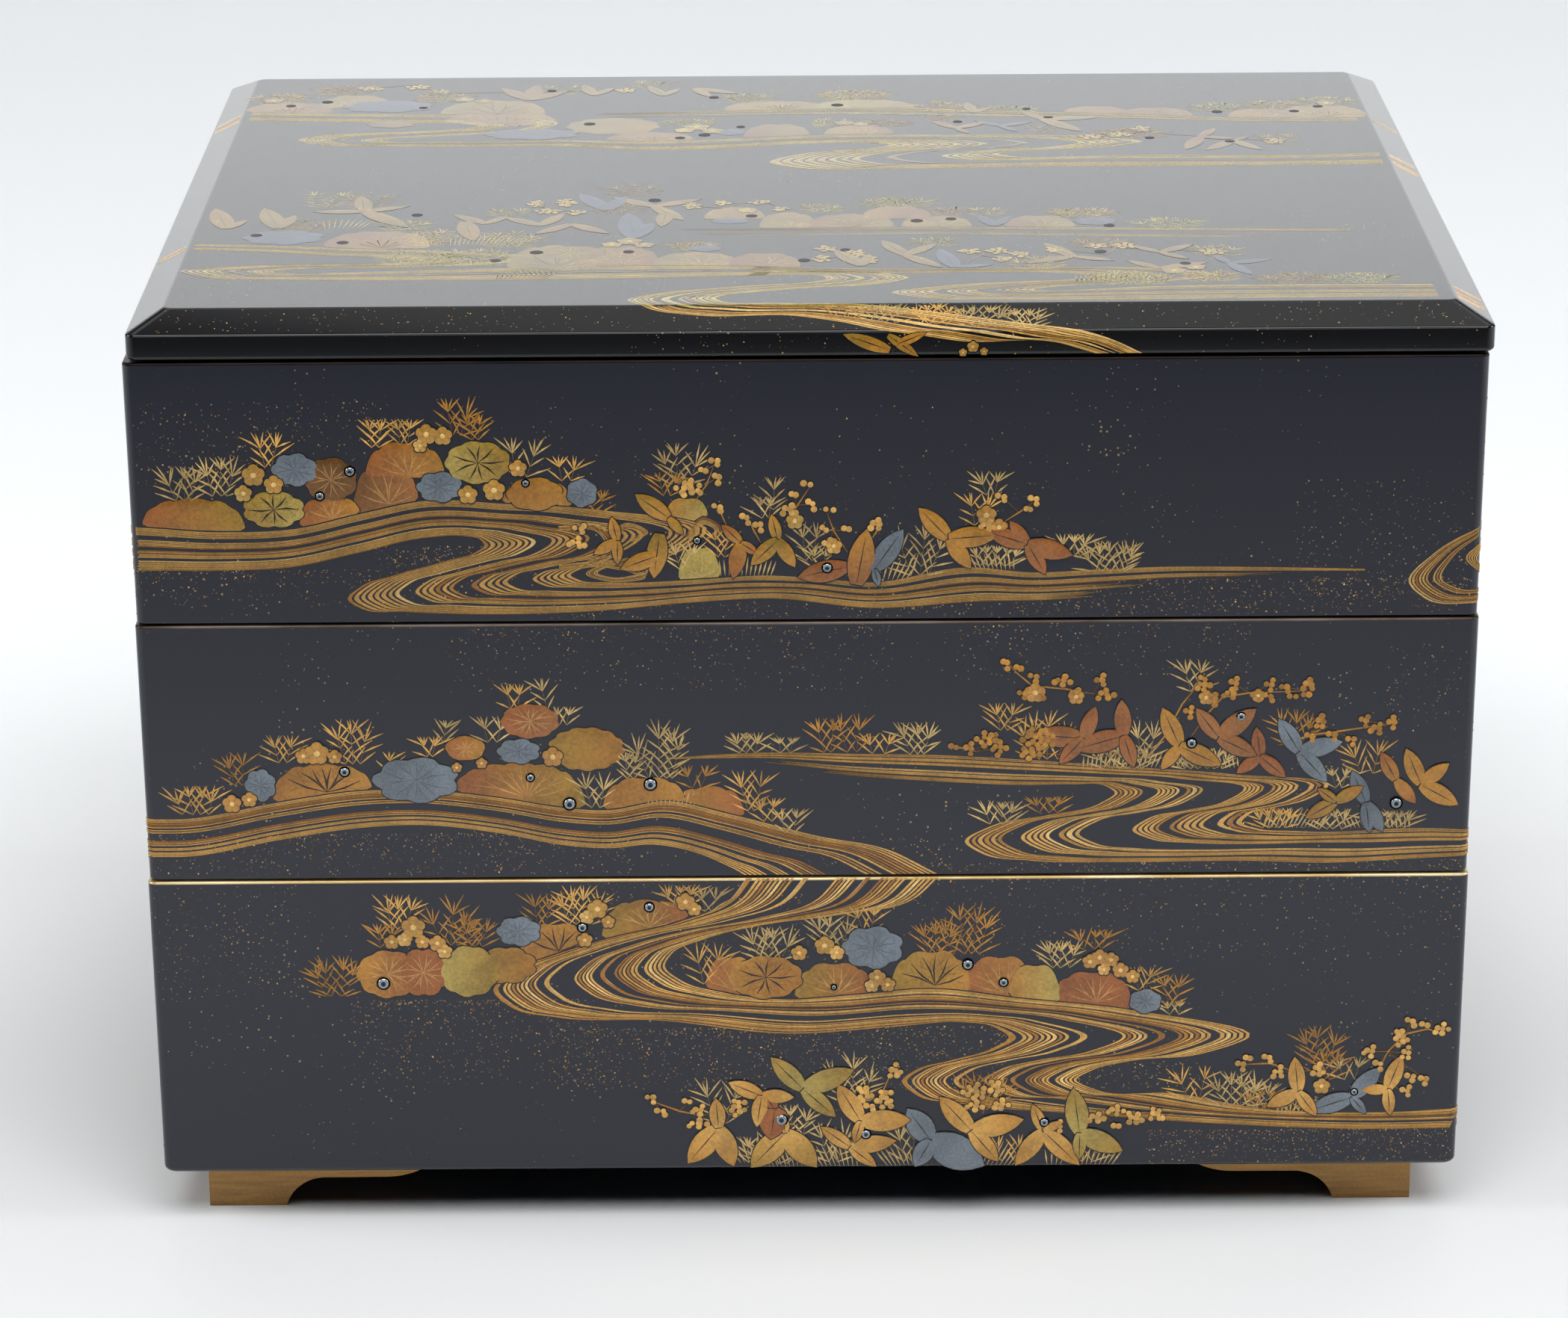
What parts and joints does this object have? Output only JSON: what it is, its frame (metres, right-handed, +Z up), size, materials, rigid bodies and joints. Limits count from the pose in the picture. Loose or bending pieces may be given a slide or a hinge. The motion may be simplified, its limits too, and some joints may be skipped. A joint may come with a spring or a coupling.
{
  "type": "tiered lacquer box",
  "caption": "Rectangular stacked box: open trays under a bevelled lid on L-shaped bracket feet, black lacquer with a sprinkled-gold stream and leaf picture.",
  "frame": {"origin": "middle of the footprint, on the surface that the feet stand on", "axes": "+Z up, -Y towards the front, +X to the right of someone facing the front"},
  "size_m": [0.301, 0.24, 0.2181],
  "materials": {
    "black_lacquer": "polished black lacquer over wood",
    "gold_lacquer": "sprinkled gold powder under satin lacquer",
    "silver_inlay": "dull silver leaf, powder and studs"
  },
  "bodies": {
    "root": {"lid": "black_lacquer", "upper_tier": "black_lacquer", "middle_tier": "black_lacquer", "lower_tier": "black_lacquer", "foot_front_left": "gold_lacquer", "foot_front_right": "gold_lacquer", "foot_back_right": "gold_lacquer", "foot_back_left": "gold_lacquer"}
  },
  "joints": []
}
